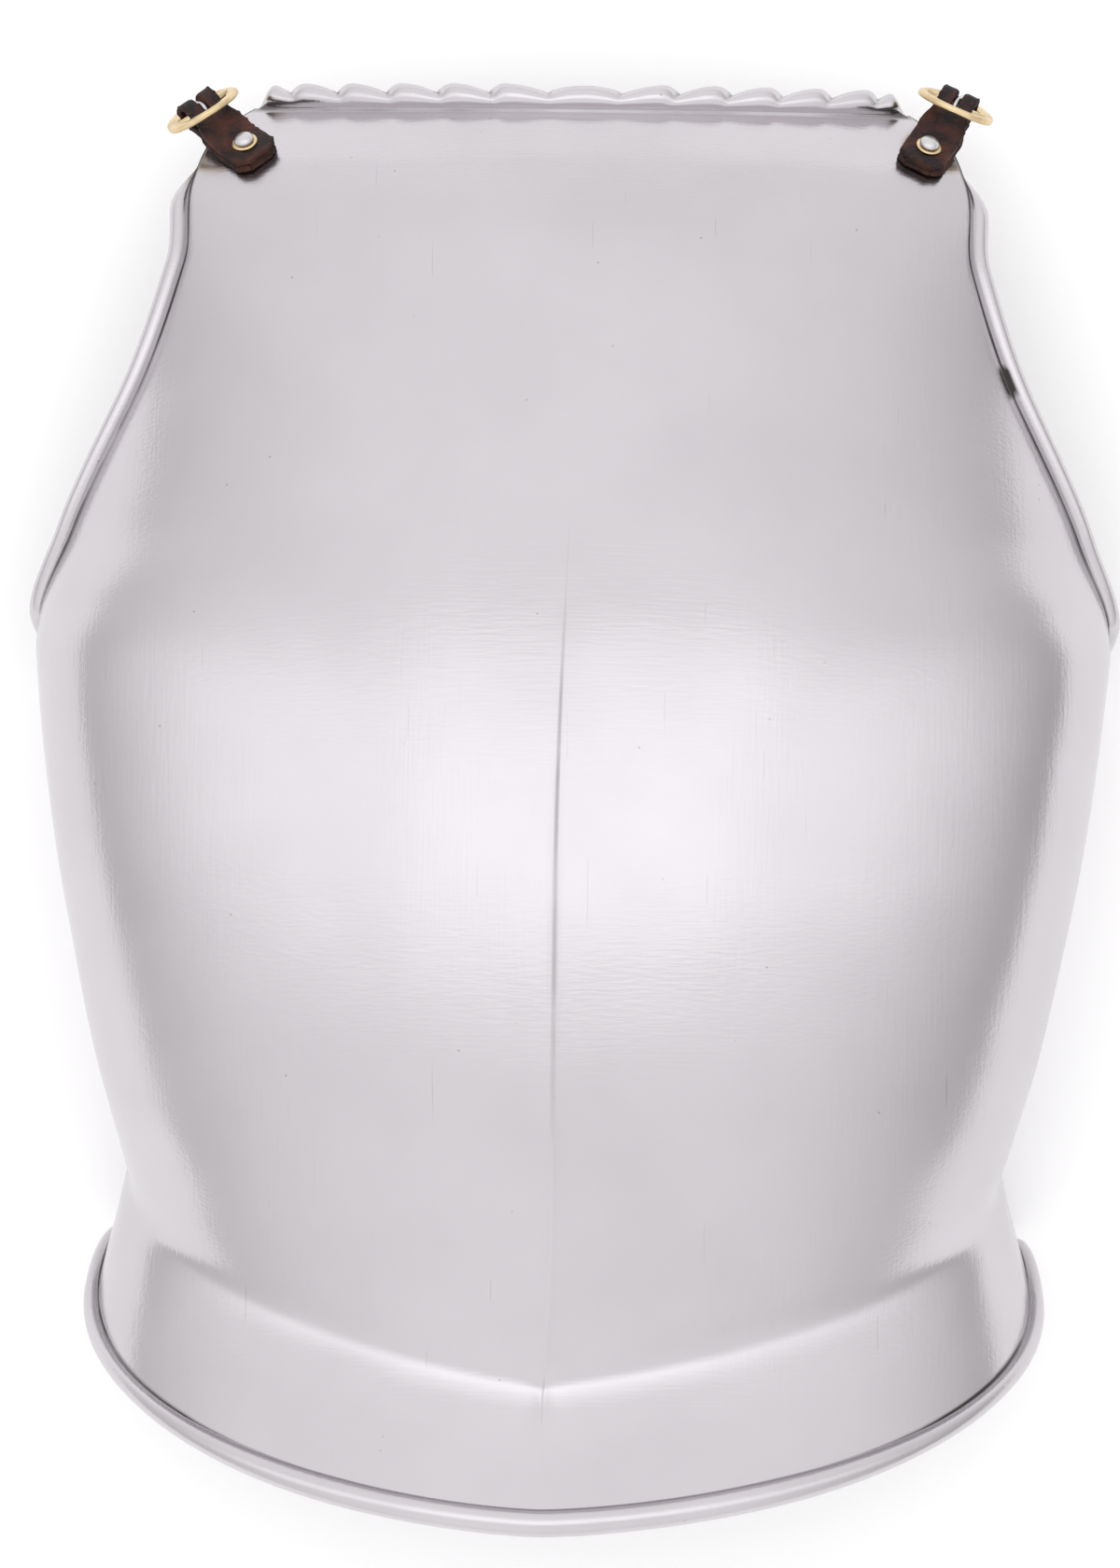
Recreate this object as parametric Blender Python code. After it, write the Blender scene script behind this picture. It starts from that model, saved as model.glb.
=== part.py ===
# Breastplate of a steel cuirass, lying on its back with the open side down on z = 0.
# X runs across the body, Y up it towards the neck, Z outwards from the chest.
# The plate is one piece of sheet: a deep round chest with a low medial ridge, a creased
# waist, a flared flange, rolled edges round the arms and along the bottom, and a roped
# roll across the neck. A short folded strap with a round buckle is riveted at each shoulder.

import bmesh
import bpy
import numpy as np
from math import cos, pi, radians, sin, sqrt
from mathutils import Matrix, Vector

# Plate
HEIGHT = 0.480          # neck edge to bottom edge at the middle
HALF_WIDTH = 0.180      # middle to side at the chest
DEPTH = 0.160           # rear edges to the front of the chest
SHEET = 0.0015          # sheet thickness
RIDGE = 0.003           # height of the medial ridge
RIDGE_HALF = 0.045      # half width of the ridge's foot
WRAP = 1.30             # quarter turns from the middle round to the rear edge
TUCK = 0.005            # how far the rear edges draw in behind the widest line
GROUND_STRIP = 0.010    # height up to which the rear edges stand square on the ground
MIDDLE = 0.00166        # sets the middle of the whole part on y = 0

# Edges
ARM_ROLL = 0.0030       # radius of the plain roll round the arms
HEM_ROLL = 0.0046       # radius of the bottom roll at the middle
HEM_ROLL_SIDE = 0.0029  # radius of the bottom roll at the sides
NECK_ROLL = 0.0043      # radius of the roped roll at the neck
HEM_TAPER = (0.2, 0.6)  # shares across between which the bottom roll thins
ROPE_DEPTH = 0.20       # depth of a rope groove as a share of the roll's radius
ROPE_CREST = (1.0, 1.05, 1.02)    # the roll's radius on the columns between two grooves
ROPE_SLANT = 1.5        # columns a groove leans outwards over the roll
ROLL_FADE = 0.015       # height over which a roll fades out above the rear edge
NECK_ROLL_ENDS = (0.93, 0.995)    # shares across the neck where its roll fades out
ARM_ROLL_ENDS = (0.925, 0.965)    # places up the plate where the arm rolls fade out
ROLL_STEPS = 7          # facets round a roll
COLUMNS = 52            # facets across the plate, four to each turn of the rope

# Straps, buckles and rivets
LEATHER = 0.0022        # one layer
LAYER_GAP = 0.0003      # between neighbouring pieces and between the two layers
STRAP_WIDTH = 0.0162
FOLD_WIDTH = 0.0130     # width where the strap passes round the bar
END_WIDTH = 0.0090      # width of the clipped end
STRAP_RISE = 20         # degrees the strap climbs towards the bar
STRAP_TAIL = 0.0080     # rivet to the strap's end
STRAP_REACH = 0.0235    # rivet to the buckle's bar
STRAP_FLAT = 0.25       # share of the reach that lies flat on the plate
STRAP_LIFT = 0.0080     # bar's height above the plate
STRAP_CLIP = 0.2        # share of the strap's width clipped off each corner of its ends
LOOP_ROOM = 0.0011      # room between the bar and the inside of the fold
LOOP_SLACK = 0.0016     # how far the fold reaches past the bar
FOLD_STEPS = 10         # facets round the bar
FOLD_FROM = 5           # first station of the fold and of the slot in it
SLOT_WIDTH = 0.0026     # opening in the fold for the tongue
BAR_RADIUS = 0.0015
BAR_FACETS = 8
RING_OUTER = 0.0138
RING_INNER = 0.0094
RING_FACETS = 24
RING_THICK = 0.0023
RING_BEND = 3           # degrees each half of the frame rises from the bar
RING_SWING = -28        # degrees from the strap's line down to the frame
TONGUE_WIRE = 0.0009
WIRE_FACETS = 6
EYE_START = 10          # degrees at which the tongue's eye begins
EYE_TURN = 260          # degrees the eye goes on round the bar
EYE_STEPS = 9
TONGUE_REACH = 0.0128   # bar to the tongue's tip
TONGUE_TIP = 0.75       # thickness of the tip as a share of the wire
SHANK_RADIUS = 0.0018
HOLE_RADIUS = 0.0021
HEAD_RADIUS = 0.0034
RIVET_FACETS = 14
HEAD_HEIGHT = 0.0026
HEAD_RIM = 0.15         # share of the head's height that stands straight
TAIL_RADIUS = 0.0032
TAIL_HEIGHT = 0.0010
TAIL_END = 0.8          # share of the tail's radius left at its hammered end
TAIL_SEAT = 0.95        # share of the tail's radius that bears on the sheet
TAIL_GAP = 0.0007       # room for the bend of the sheet under the rivet's tail
HOLE_DEPTH = 0.0120
HOLE_FACETS = 12
WASHER_OUTER = 0.0044
WASHER_INNER = 0.0021
WASHER_THICK = 0.0008
WASHER_FACETS = 20
RIVET_AT = {"left": (-0.853, 0.9655), "right": (0.897, 0.9685)}   # across and up the plate
HEADING = {"left": 52, "right": 65}   # degrees of each strap above the horizontal

# One row per section, from the bottom edge up. Heights are shares of HEIGHT from the
# middle of the body, widths of HALF_WIDTH, depths of DEPTH and the ridge of RIDGE.
# "turn" is how far the section wraps round, in quarter turns, and "sag" is the power
# with which a row drops from the side line to the middle.
COLUMN_NAMES = ("at", "mid_y", "side_y", "half", "side_z", "mid_z", "turn", "sag", "ridge")
SECTIONS = (
    # at,    mid_y,  side_y, half,  side_z, mid_z, turn,  sag,  ridge
    (0.000, -0.502, -0.362, 0.878,  0.37,  0.940, 1.300, 1.60, 0.15),   # bottom edge
    (0.045, -0.463, -0.318, 0.847,  0.37,  0.870, 1.300, 1.50, 0.30),   # flange
    (0.090, -0.415, -0.270, 0.819,  0.37,  0.805, 1.300, 1.38, 0.65),   # crease
    (0.140, -0.367, -0.233, 0.847,  0.41,  0.855, 1.300, 1.42, 0.85),   # waist
    (0.220, -0.281, -0.183, 0.886,  0.45,  0.940, 1.300, 1.50, 1.00),   # belly
    (0.320, -0.183, -0.115, 0.925,  0.48,  0.995, 1.300, 1.60, 1.00),   # ribs
    (0.430, -0.073, -0.038, 0.963,  0.50,  1.012, 1.300, 1.80, 0.90),   # deepest
    (0.540,  0.038,  0.042, 0.991,  0.50,  0.987, 1.300, 2.00, 0.65),   # chest
    (0.580,  0.083,  0.077, 1.001,  0.49,  0.970, 1.280, 2.00, 0.50),   # foot of armhole
    (0.610,  0.108,  0.096, 1.006,  0.47,  0.953, 1.180, 2.00, 0.35),
    (0.640,  0.135,  0.115, 1.004,  0.43,  0.934, 1.010, 2.00, 0.25),
    (0.690,  0.183,  0.169, 0.976,  0.33,  0.893, 0.840, 2.00, 0.10),
    (0.780,  0.271,  0.258, 0.980,  0.15,  0.806, 0.645, 2.00, 0.00),   # armhole
    (0.880,  0.367,  0.357, 1.033,  0.03,  0.672, 0.510, 2.00, 0.00),
    (0.955,  0.435,  0.417, 1.139, -0.03,  0.515, 0.443, 2.00, 0.00),   # shoulder
    (0.980,  0.460,  0.460, 1.154, -0.18,  0.445, 0.415, 2.00, 0.00),   # cut corner
    (1.000,  0.479,  0.502, 1.166, -0.46,  0.390, 0.362, 2.00, 0.00),   # neck edge
)
MIDDLE_DEPTH = COLUMN_NAMES.index("mid_z")
# The crease is the shallowest section of the lower half
CREASE_ROW = min(range(len(SECTIONS) // 2), key=lambda row: SECTIONS[row][MIDDLE_DEPTH])
CREASE_AT = SECTIONS[CREASE_ROW][0]

# Rows of facets between two places up the plate
SPANS = ((0.0, CREASE_AT, 3), (CREASE_AT, 0.54, 9), (0.54, 0.66, 5), (0.66, 0.955, 8),
         (0.955, 1.0, 3))
SURFACE_STEP = 1e-3     # step across the surface by which its directions are found


def smooth(low, high, value):
    share = min(max((value - low) / (high - low), 0.0), 1.0)
    return share * share * (3.0 - 2.0 * share)


def slopes(at, value):
    """Slopes of a curve through the points that never overshoots them."""
    step = np.diff(at)
    rise = np.diff(value) / step
    slope = np.empty(len(value))
    slope[0] = rise[0]
    slope[-1] = rise[-1]
    for i in range(1, len(value) - 1):
        if rise[i - 1] * rise[i] <= 0:
            slope[i] = 0.0
        else:
            before = 2 * step[i] + step[i - 1]
            after = step[i] + 2 * step[i - 1]
            slope[i] = (before + after) / (before / rise[i - 1] + after / rise[i])
    return slope


def curve_set(first, last):
    """The sections from first to last with their slopes, one column at a time."""
    rows = np.array(SECTIONS)[first:last + 1]
    at = rows[:, 0]
    return at, rows, np.stack([slopes(at, rows[:, j]) for j in range(rows.shape[1])], 1)


BELOW = curve_set(0, CREASE_ROW)
ABOVE = curve_set(CREASE_ROW, len(SECTIONS) - 1)


def section(v):
    """The named values of the section at v, 0 at the bottom edge and 1 at the neck."""
    at, rows, slope = BELOW if v < CREASE_AT else ABOVE
    i = min(max(int(np.searchsorted(at, v, side="right")) - 1, 0), len(at) - 2)
    step = at[i + 1] - at[i]
    t = (v - at[i]) / step
    values = ((1 + 2 * t) * (1 - t) ** 2 * rows[i] + t * (1 - t) ** 2 * step * slope[i]
              + t * t * (3 - 2 * t) * rows[i + 1] + t * t * (t - 1) * step * slope[i + 1])
    return dict(zip(COLUMN_NAMES, values))


def plate_point(u, v):
    """A point of the plate's inner face, u from -1 to 1 across and v up it."""
    row = section(v)
    turn = abs(u) * row["turn"]
    behind = max(turn - 1.0, 0.0)
    wrap = behind / (WRAP - 1.0)
    angle = min(turn, 1.0) * pi / 2
    x = HALF_WIDTH * row["half"] * sin(angle) - TUCK * wrap ** 2
    z = row["side_z"] + (row["mid_z"] - row["side_z"]) * cos(angle) - row["side_z"] * wrap
    z = max(DEPTH * z, 0.0) if wrap > 0 else DEPTH * z
    z += RIDGE * row["ridge"] * max(1.0 - x / RIDGE_HALF, 0.0) ** 2
    eased = behind - behind ** 2 / (2 * (WRAP - 1.0))
    drop = min(turn, 1.0) ** row["sag"] + row["sag"] * eased
    y = HEIGHT * (row["mid_y"] + (row["side_y"] - row["mid_y"]) * drop) + MIDDLE
    return Vector((x if u >= 0 else -x, y, z))


def plate_frame(u, v):
    """Point, outward normal and the two surface directions at (u, v)."""
    step = SURFACE_STEP
    along = plate_point(min(u + step, 1.0), v) - plate_point(max(u - step, -1.0), v)
    up = plate_point(u, min(v + step, 1.0)) - plate_point(u, max(v - step, 0.0))
    point = plate_point(u, v)
    normal = along.cross(up).normalized()
    normal.z *= smooth(0.0, GROUND_STRIP, point.z)
    return point, normal.normalized(), along.normalized(), up.normalized()


def roll_size(u, v):
    """Radius of the rolled edge and how fully it is formed, 0 to 1, at an edge point."""
    size = ARM_ROLL
    formed = 1.0 - smooth(*ARM_ROLL_ENDS, v)
    if v >= 1.0:
        size = NECK_ROLL
        formed = 1.0 - smooth(*NECK_ROLL_ENDS, abs(u))
    elif v <= 0.0:
        size = HEM_ROLL + (HEM_ROLL_SIDE - HEM_ROLL) * smooth(*HEM_TAPER, abs(u))
        formed = 1.0
    return size, formed * smooth(0.0, ROLL_FADE, plate_point(u, v).z)


ROPE_TURN = (*ROPE_CREST, 1.0 - ROPE_DEPTH)


def rope_share(column):
    """Radius of the roped roll at a column, as a share: one groove to each turn."""
    count = abs(column)
    return ROPE_TURN[count % len(ROPE_TURN)] if 0 < count < COLUMNS // 2 - 1 else 1.0


def rolled_edge(u, v, share):
    """Point on the rolled edge, share 0 at the inner face and 1 at the seam outside."""
    size, formed = roll_size(u, v)
    step = share * ROLL_STEPS
    if v >= 1.0:
        column = round(u * COLUMNS / 2)
        size *= rope_share(column)
        if step >= 1.0:
            turn = len(ROPE_TURN)
            fade = min(abs(column) / turn, 1.0) * min((COLUMNS / 2 - abs(column)) / turn, 1.0)
            lean = ROPE_SLANT * (1.0 - share) * fade * (1 if u >= 0 else -1)
            u = min(max(u + lean * 2 / COLUMNS, -1.0), 1.0)
    point, normal, along, up = plate_frame(u, v)
    flat = point + normal * SHEET * share
    if formed <= 0.0:
        return flat
    outward = Vector()
    if v >= 1.0:
        outward += (up - along * up.dot(along)).normalized()
    if v <= 0.0:
        outward -= (up - along * up.dot(along)).normalized()
    if abs(u) >= 1.0:
        side = 1.0 if u > 0 else -1.0
        edge = (plate_point(side, min(v + SURFACE_STEP, 1.0))
                - plate_point(side, max(v - SURFACE_STEP, 0.0))).normalized()
        outward += side * (along - edge * along.dot(edge)).normalized()
    outward.normalize()
    overhang = sqrt(2 * size * SHEET - SHEET ** 2)
    if step < 1.0:
        rolled = point + outward * overhang * step
    else:
        end = pi + np.arcsin((size - SHEET) / size)
        angle = -pi / 2 + (end + pi / 2) * (step - 1) / (ROLL_STEPS - 1)
        centre = point + outward * overhang + normal * size
        rolled = centre + (outward * cos(angle) + normal * sin(angle)) * size
    return flat.lerp(rolled, formed)


def row_places():
    places = [0.0]
    for low, high, steps in SPANS:
        places += [low + (high - low) * (i + 1) / steps for i in range(steps)]
    return places


def finish(name, colour, metallic, roughness):
    material = bpy.data.materials.new(name)
    material.use_nodes = True
    shader = material.node_tree.nodes["Principled BSDF"]
    shader.inputs["Base Color"].default_value = (*colour, 1.0)
    shader.inputs["Metallic"].default_value = metallic
    shader.inputs["Roughness"].default_value = roughness
    return material


def add_object(name, bm, material, matrix=None, smooth_shade=True):
    bmesh.ops.recalc_face_normals(bm, faces=bm.faces)
    mesh = bpy.data.meshes.new(name)
    bm.to_mesh(mesh)
    bm.free()
    for face in mesh.polygons:
        face.use_smooth = smooth_shade
    obj = bpy.data.objects.new(name, mesh)
    bpy.context.scene.collection.objects.link(obj)
    if material:
        mesh.materials.append(material)
    if matrix:
        obj.location = matrix.to_translation()
        obj.rotation_euler = matrix.to_euler()
    return obj


def cut(obj, cutter):
    cutter.hide_render = True
    cutter.display_type = "WIRE"
    hole = obj.modifiers.new("hole", "BOOLEAN")
    hole.operation = "DIFFERENCE"
    hole.solver = "EXACT"
    hole.object = cutter


def breastplate(material):
    places = row_places()
    rows = len(places) - 1
    bm = bmesh.new()
    bmesh.ops.create_grid(bm, x_segments=COLUMNS, y_segments=rows, size=1.0)
    bmesh.ops.solidify(bm, geom=bm.faces[:], thickness=1.0)
    lowest = min(vert.co.z for vert in bm.verts)
    for vert in bm.verts:
        vert.co.z -= lowest
    edge_faces = [e for e in bm.edges if abs(e.verts[0].co.z - e.verts[1].co.z) > 0.5]
    bmesh.ops.subdivide_edges(bm, edges=edge_faces, cuts=ROLL_STEPS - 1, use_grid_fill=True)
    for vert in bm.verts:
        u = round(vert.co.x * COLUMNS / 2) * 2 / COLUMNS
        v = places[round((vert.co.y + 1) / 2 * rows)]
        share = vert.co.z
        if abs(u) == 1.0 or v in (0.0, 1.0):
            vert.co = rolled_edge(u, v, share)
        else:
            point, normal, _, _ = plate_frame(u, v)
            vert.co = point + normal * SHEET * share
    bmesh.ops.triangulate(bm, faces=[f for f in bm.faces if len(f.verts) > 4])
    return add_object("breastplate", bm, material)


def shoulder_frame(side):
    """Axes at a rivet: x along the strap away from the body, y across it, z off the plate."""
    point, normal, _, _ = plate_frame(*RIVET_AT[side])
    heading = radians(HEADING[side])
    along = Vector((cos(heading) if side == "right" else -cos(heading), sin(heading), 0.0))
    along = (along - normal * along.dot(normal)).normalized()
    matrix = Matrix((along, normal.cross(along), normal)).transposed().to_4x4()
    matrix.translation = point + normal * SHEET
    return matrix


# How the two layers of a strap part: a share of the reach, and the shares of the bar's
# height by which the upper and the lower layer have risen there
PARTING = (
    # reach, upper, lower
    (0.50, 0.22, 0.20),
    (0.82, 0.63, 0.37),
)


def strap_path():
    """Middle line of the folded strap, as (along, off the plate), from end to end."""
    low = LAYER_GAP + LEATHER / 2
    high = low + LEATHER + LAYER_GAP
    loop = BAR_RADIUS + LOOP_ROOM + LEATHER / 2
    rise = radians(STRAP_RISE)
    flat = (-STRAP_TAIL, STRAP_WIDTH * STRAP_CLIP - STRAP_TAIL, 0.0,
            STRAP_REACH * STRAP_FLAT)
    upper = [(x, high) for x in flat]
    upper += [(STRAP_REACH * reach, high + STRAP_LIFT * up) for reach, up, _ in PARTING]
    fold = []
    for i in range(FOLD_STEPS + 1):
        angle = pi / 2 + rise - (pi + 2 * rise) * i / FOLD_STEPS
        fold.append((STRAP_REACH + LOOP_SLACK + loop * cos(angle), STRAP_LIFT + loop * sin(angle)))
    lower = [(STRAP_REACH * reach, low + STRAP_LIFT * up) for reach, _, up in reversed(PARTING)]
    lower += [(x, low) for x in reversed(flat)]
    return upper + fold + lower


def strap(side, material, frame, holes):
    path = [Vector((x, 0.0, z)) for x, z in strap_path()]
    last = len(path) - 1
    fold = range(FOLD_FROM, last - FOLD_FROM)
    bm = bmesh.new()
    bmesh.ops.create_grid(bm, x_segments=last, y_segments=3, size=1.0)
    slot = []
    for face in bm.faces:
        middle = face.calc_center_median()
        if abs(middle.y) < 0.3 and int((middle.x + 1) / 2 * last) in fold:
            slot.append(face)
    bmesh.ops.delete(bm, geom=slot, context="FACES")
    bmesh.ops.solidify(bm, geom=bm.faces[:], thickness=1.0)
    lowest = min(vert.co.z for vert in bm.verts)
    for vert in bm.verts:
        i = round((vert.co.x + 1) / 2 * last)
        width = FOLD_WIDTH if i in fold or i == fold.stop else STRAP_WIDTH
        if i in (0, last):
            width = END_WIDTH
        across = (width if abs(vert.co.y) > 0.5 else SLOT_WIDTH) / 2
        line = (path[min(i + 1, last)] - path[max(i - 1, 0)]).normalized()
        normal = Vector((-line.z, 0.0, line.x))
        lift = (vert.co.z - lowest - 0.5) * LEATHER
        vert.co = path[i] + normal * lift + Vector((0.0, across if vert.co.y > 0 else -across, 0.0))
    bmesh.ops.triangulate(bm, faces=bm.faces[:])
    obj = add_object("strap_" + side, bm, material, frame, smooth_shade=False)
    cut(obj, holes)
    return obj


def spun(profile, steps):
    """A solid of revolution about Z from a closed outline of (radius, height)."""
    bm = bmesh.new()
    verts = [bm.verts.new((radius, 0.0, height)) for radius, height in profile]
    edges = [bm.edges.new((verts[i], verts[(i + 1) % len(verts)])) for i in range(len(verts))]
    if profile[0][0] == 0.0:
        bm.edges.remove(edges[-1])
        edges.pop()
    bmesh.ops.spin(bm, geom=verts + edges, cent=(0, 0, 0), axis=(0, 0, 1), angle=2 * pi,
                   steps=steps, use_merge=True)
    bmesh.ops.remove_doubles(bm, verts=bm.verts[:], dist=1e-6)
    return bm


def washer(side, material, frame):
    base = 3 * LAYER_GAP + 2 * LEATHER
    top = base + WASHER_THICK
    bm = spun(((WASHER_INNER, base), (WASHER_OUTER, base), (WASHER_OUTER, top),
               (WASHER_INNER, top)), WASHER_FACETS)
    return add_object("washer_" + side, bm, material, frame)


def rivet(side, material, frame):
    seat = 4 * LAYER_GAP + 2 * LEATHER + WASHER_THICK
    back = -SHEET - TAIL_GAP
    dome = [(HEAD_RADIUS * cos(a), seat + HEAD_HEIGHT * (HEAD_RIM + (1 - HEAD_RIM) * sin(a)))
            for a in (0.0, pi / 8, pi / 4, 3 * pi / 8)]
    outline = [(0.0, back - TAIL_HEIGHT), (TAIL_RADIUS * TAIL_END, back - TAIL_HEIGHT),
               (TAIL_RADIUS, back - TAIL_HEIGHT / 2), (TAIL_RADIUS * TAIL_SEAT, back),
               (SHANK_RADIUS, back), (SHANK_RADIUS, seat), (HEAD_RADIUS, seat)]
    bm = spun(outline + dome + [(0.0, seat + HEAD_HEIGHT)], RIVET_FACETS)
    return add_object("rivet_" + side, bm, material, frame)


def buckle_frame(side):
    """Axes at a buckle's bar: x out over the far arc, y along the bar, z off the frame."""
    swing = Matrix.Rotation(-radians(RING_SWING), 4, "Y")
    return shoulder_frame(side) @ Matrix.Translation((STRAP_REACH, 0.0, STRAP_LIFT)) @ swing


def buckle(side, material):
    half = RING_THICK / 2
    bm = spun(((RING_INNER, -half), (RING_OUTER, -half), (RING_OUTER, half),
               (RING_INNER, half)), RING_FACETS)
    for vert in bm.verts:
        vert.co.z += abs(vert.co.x) * sin(radians(RING_BEND))
    obj = add_object("buckle_" + side, bm, material, buckle_frame(side))
    bar = bmesh.new()
    bmesh.ops.create_cone(bar, cap_ends=True, segments=BAR_FACETS, radius1=BAR_RADIUS,
                          radius2=BAR_RADIUS, depth=RING_INNER + RING_OUTER)
    bmesh.ops.rotate(bar, verts=bar.verts, cent=(0, 0, 0), matrix=Matrix.Rotation(pi / 2, 3, "X"))
    joined = add_object("bar_" + side, bar, None, buckle_frame(side))
    cut(obj, joined)
    obj.modifiers["hole"].operation = "UNION"
    return obj


def tongue(side, material):
    """A wire bent into an eye round the bar, its point resting on the far arc."""
    eye = BAR_RADIUS + LAYER_GAP + TONGUE_WIRE
    path = []
    for i in range(EYE_STEPS + 1):
        angle = radians(EYE_START - (EYE_START + EYE_TURN) * i / EYE_STEPS)
        path.append(Vector((eye * cos(angle), 0.0, eye * sin(angle))))
    arc_top = TONGUE_REACH * sin(radians(RING_BEND)) + RING_THICK / 2
    tip = Vector((TONGUE_REACH, 0.0, arc_top + LAYER_GAP + TONGUE_WIRE))
    path += [path[-1].lerp(tip, 0.5), tip]
    bm = bmesh.new()
    ring = bmesh.ops.create_circle(bm, cap_ends=True, segments=WIRE_FACETS, radius=TONGUE_WIRE)
    section_at = [vert.co.copy() for vert in ring["verts"]]
    face = bm.faces[:][0]
    for i, point in enumerate(path):
        line = (path[min(i + 1, len(path) - 1)] - path[max(i - 1, 0)]).normalized()
        normal = Vector((-line.z, 0.0, line.x))
        if i:
            grown = bmesh.ops.extrude_discrete_faces(bm, faces=[face])
            face = grown["faces"][0]
        thin = TONGUE_TIP if i == len(path) - 1 else 1.0
        for vert, flat in zip(face.verts, section_at):
            vert.co = point + (normal * flat.x + Vector((0.0, flat.y, 0.0))) * thin
    bmesh.ops.holes_fill(bm, edges=[edge for edge in bm.edges if edge.is_boundary])
    return add_object("tongue_" + side, bm, material, buckle_frame(side))


for leftover in list(bpy.data.objects):
    bpy.data.objects.remove(leftover)

plate_steel = finish("polished_steel", (0.78, 0.77, 0.78), 1.0, 0.25)
strap_leather = finish("dark_leather", (0.06, 0.03, 0.025), 0.0, 0.6)
cast_brass = finish("brass", (0.80, 0.62, 0.36), 1.0, 0.3)
rivet_steel = finish("rivet_steel", (0.70, 0.70, 0.72), 1.0, 0.25)

plate = breastplate(plate_steel)
for hand in ("left", "right"):
    seat_frame = shoulder_frame(hand)
    hole_bm = bmesh.new()
    bmesh.ops.create_cone(hole_bm, cap_ends=True, segments=HOLE_FACETS, radius1=HOLE_RADIUS,
                          radius2=HOLE_RADIUS, depth=HOLE_DEPTH)
    hole_cutter = add_object("hole_" + hand, hole_bm, None, seat_frame)
    cut(plate, hole_cutter)
    strap(hand, strap_leather, seat_frame, hole_cutter)
    washer(hand, cast_brass, seat_frame)
    rivet(hand, rivet_steel, seat_frame)
    buckle(hand, cast_brass)
    tongue(hand, rivet_steel)
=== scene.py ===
# %% [markdown]
# # A steel breastplate
# This lesson dresses the plain solids of a cuirass breastplate: one sheet of polished steel
# with rolled edges, and at each shoulder a short leather strap that holds a round brass buckle.
# The solids are loaded first, and everything that is modelled here sits on them.

# %% Load the solids
from math import cos, pi, radians, sin

import bmesh
import bpy
import numpy as np
from mathutils import Matrix, Vector, noise


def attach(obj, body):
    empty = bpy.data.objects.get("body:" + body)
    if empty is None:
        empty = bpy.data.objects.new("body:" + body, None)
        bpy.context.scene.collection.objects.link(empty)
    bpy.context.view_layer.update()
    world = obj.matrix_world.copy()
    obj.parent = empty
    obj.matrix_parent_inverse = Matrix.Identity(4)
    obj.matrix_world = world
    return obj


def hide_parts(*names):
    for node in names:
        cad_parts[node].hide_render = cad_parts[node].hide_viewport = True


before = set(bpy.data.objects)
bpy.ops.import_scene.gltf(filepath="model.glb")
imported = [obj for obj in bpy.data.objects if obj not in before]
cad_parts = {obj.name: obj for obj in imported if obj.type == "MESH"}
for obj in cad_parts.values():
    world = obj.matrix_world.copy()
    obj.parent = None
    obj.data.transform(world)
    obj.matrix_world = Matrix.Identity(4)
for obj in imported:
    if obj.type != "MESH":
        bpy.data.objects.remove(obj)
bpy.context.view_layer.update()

# %% [markdown]
# ## The plate's form
# An armourer raises such a plate over stakes, so it has no straight line in it. A lofted
# shell describes it best: a short table gives the middle height, the side height, the width
# and the depth of a few sections, and a curve through each column gives every row between.
# A curve that never overshoots its points keeps the waist and the shoulders crisp.

# %% Sizes and sections of the plate
HEIGHT = 0.480          # neck edge to bottom edge at the middle
HALF_WIDTH = 0.180      # middle to side at the chest
DEPTH = 0.160           # rear edges to the front of the chest
SHEET = 0.0015          # sheet thickness
RIDGE = 0.003           # height of the medial ridge
RIDGE_HALF = 0.045      # half width of the ridge's foot
LINE = 0.00022          # height of the crisp line that the file left along the ridge
LINE_HALF = 0.0026      # half width of that line
LEAN_AT_RIDGE = 0.0028  # how far the smith's ridge strays from the true middle
LEAN_AT_HEM = 0.0055    # and the point of the waist crease below it
WRAP = 1.30             # quarter turns from the middle round to the rear edge
TUCK = 0.005            # how far the rear edges draw in behind the widest line
GROUND_STRIP = 0.010    # height up to which the rear edges stand square on the ground
MIDDLE = 0.00166        # sets the middle of the whole object on y = 0

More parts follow.
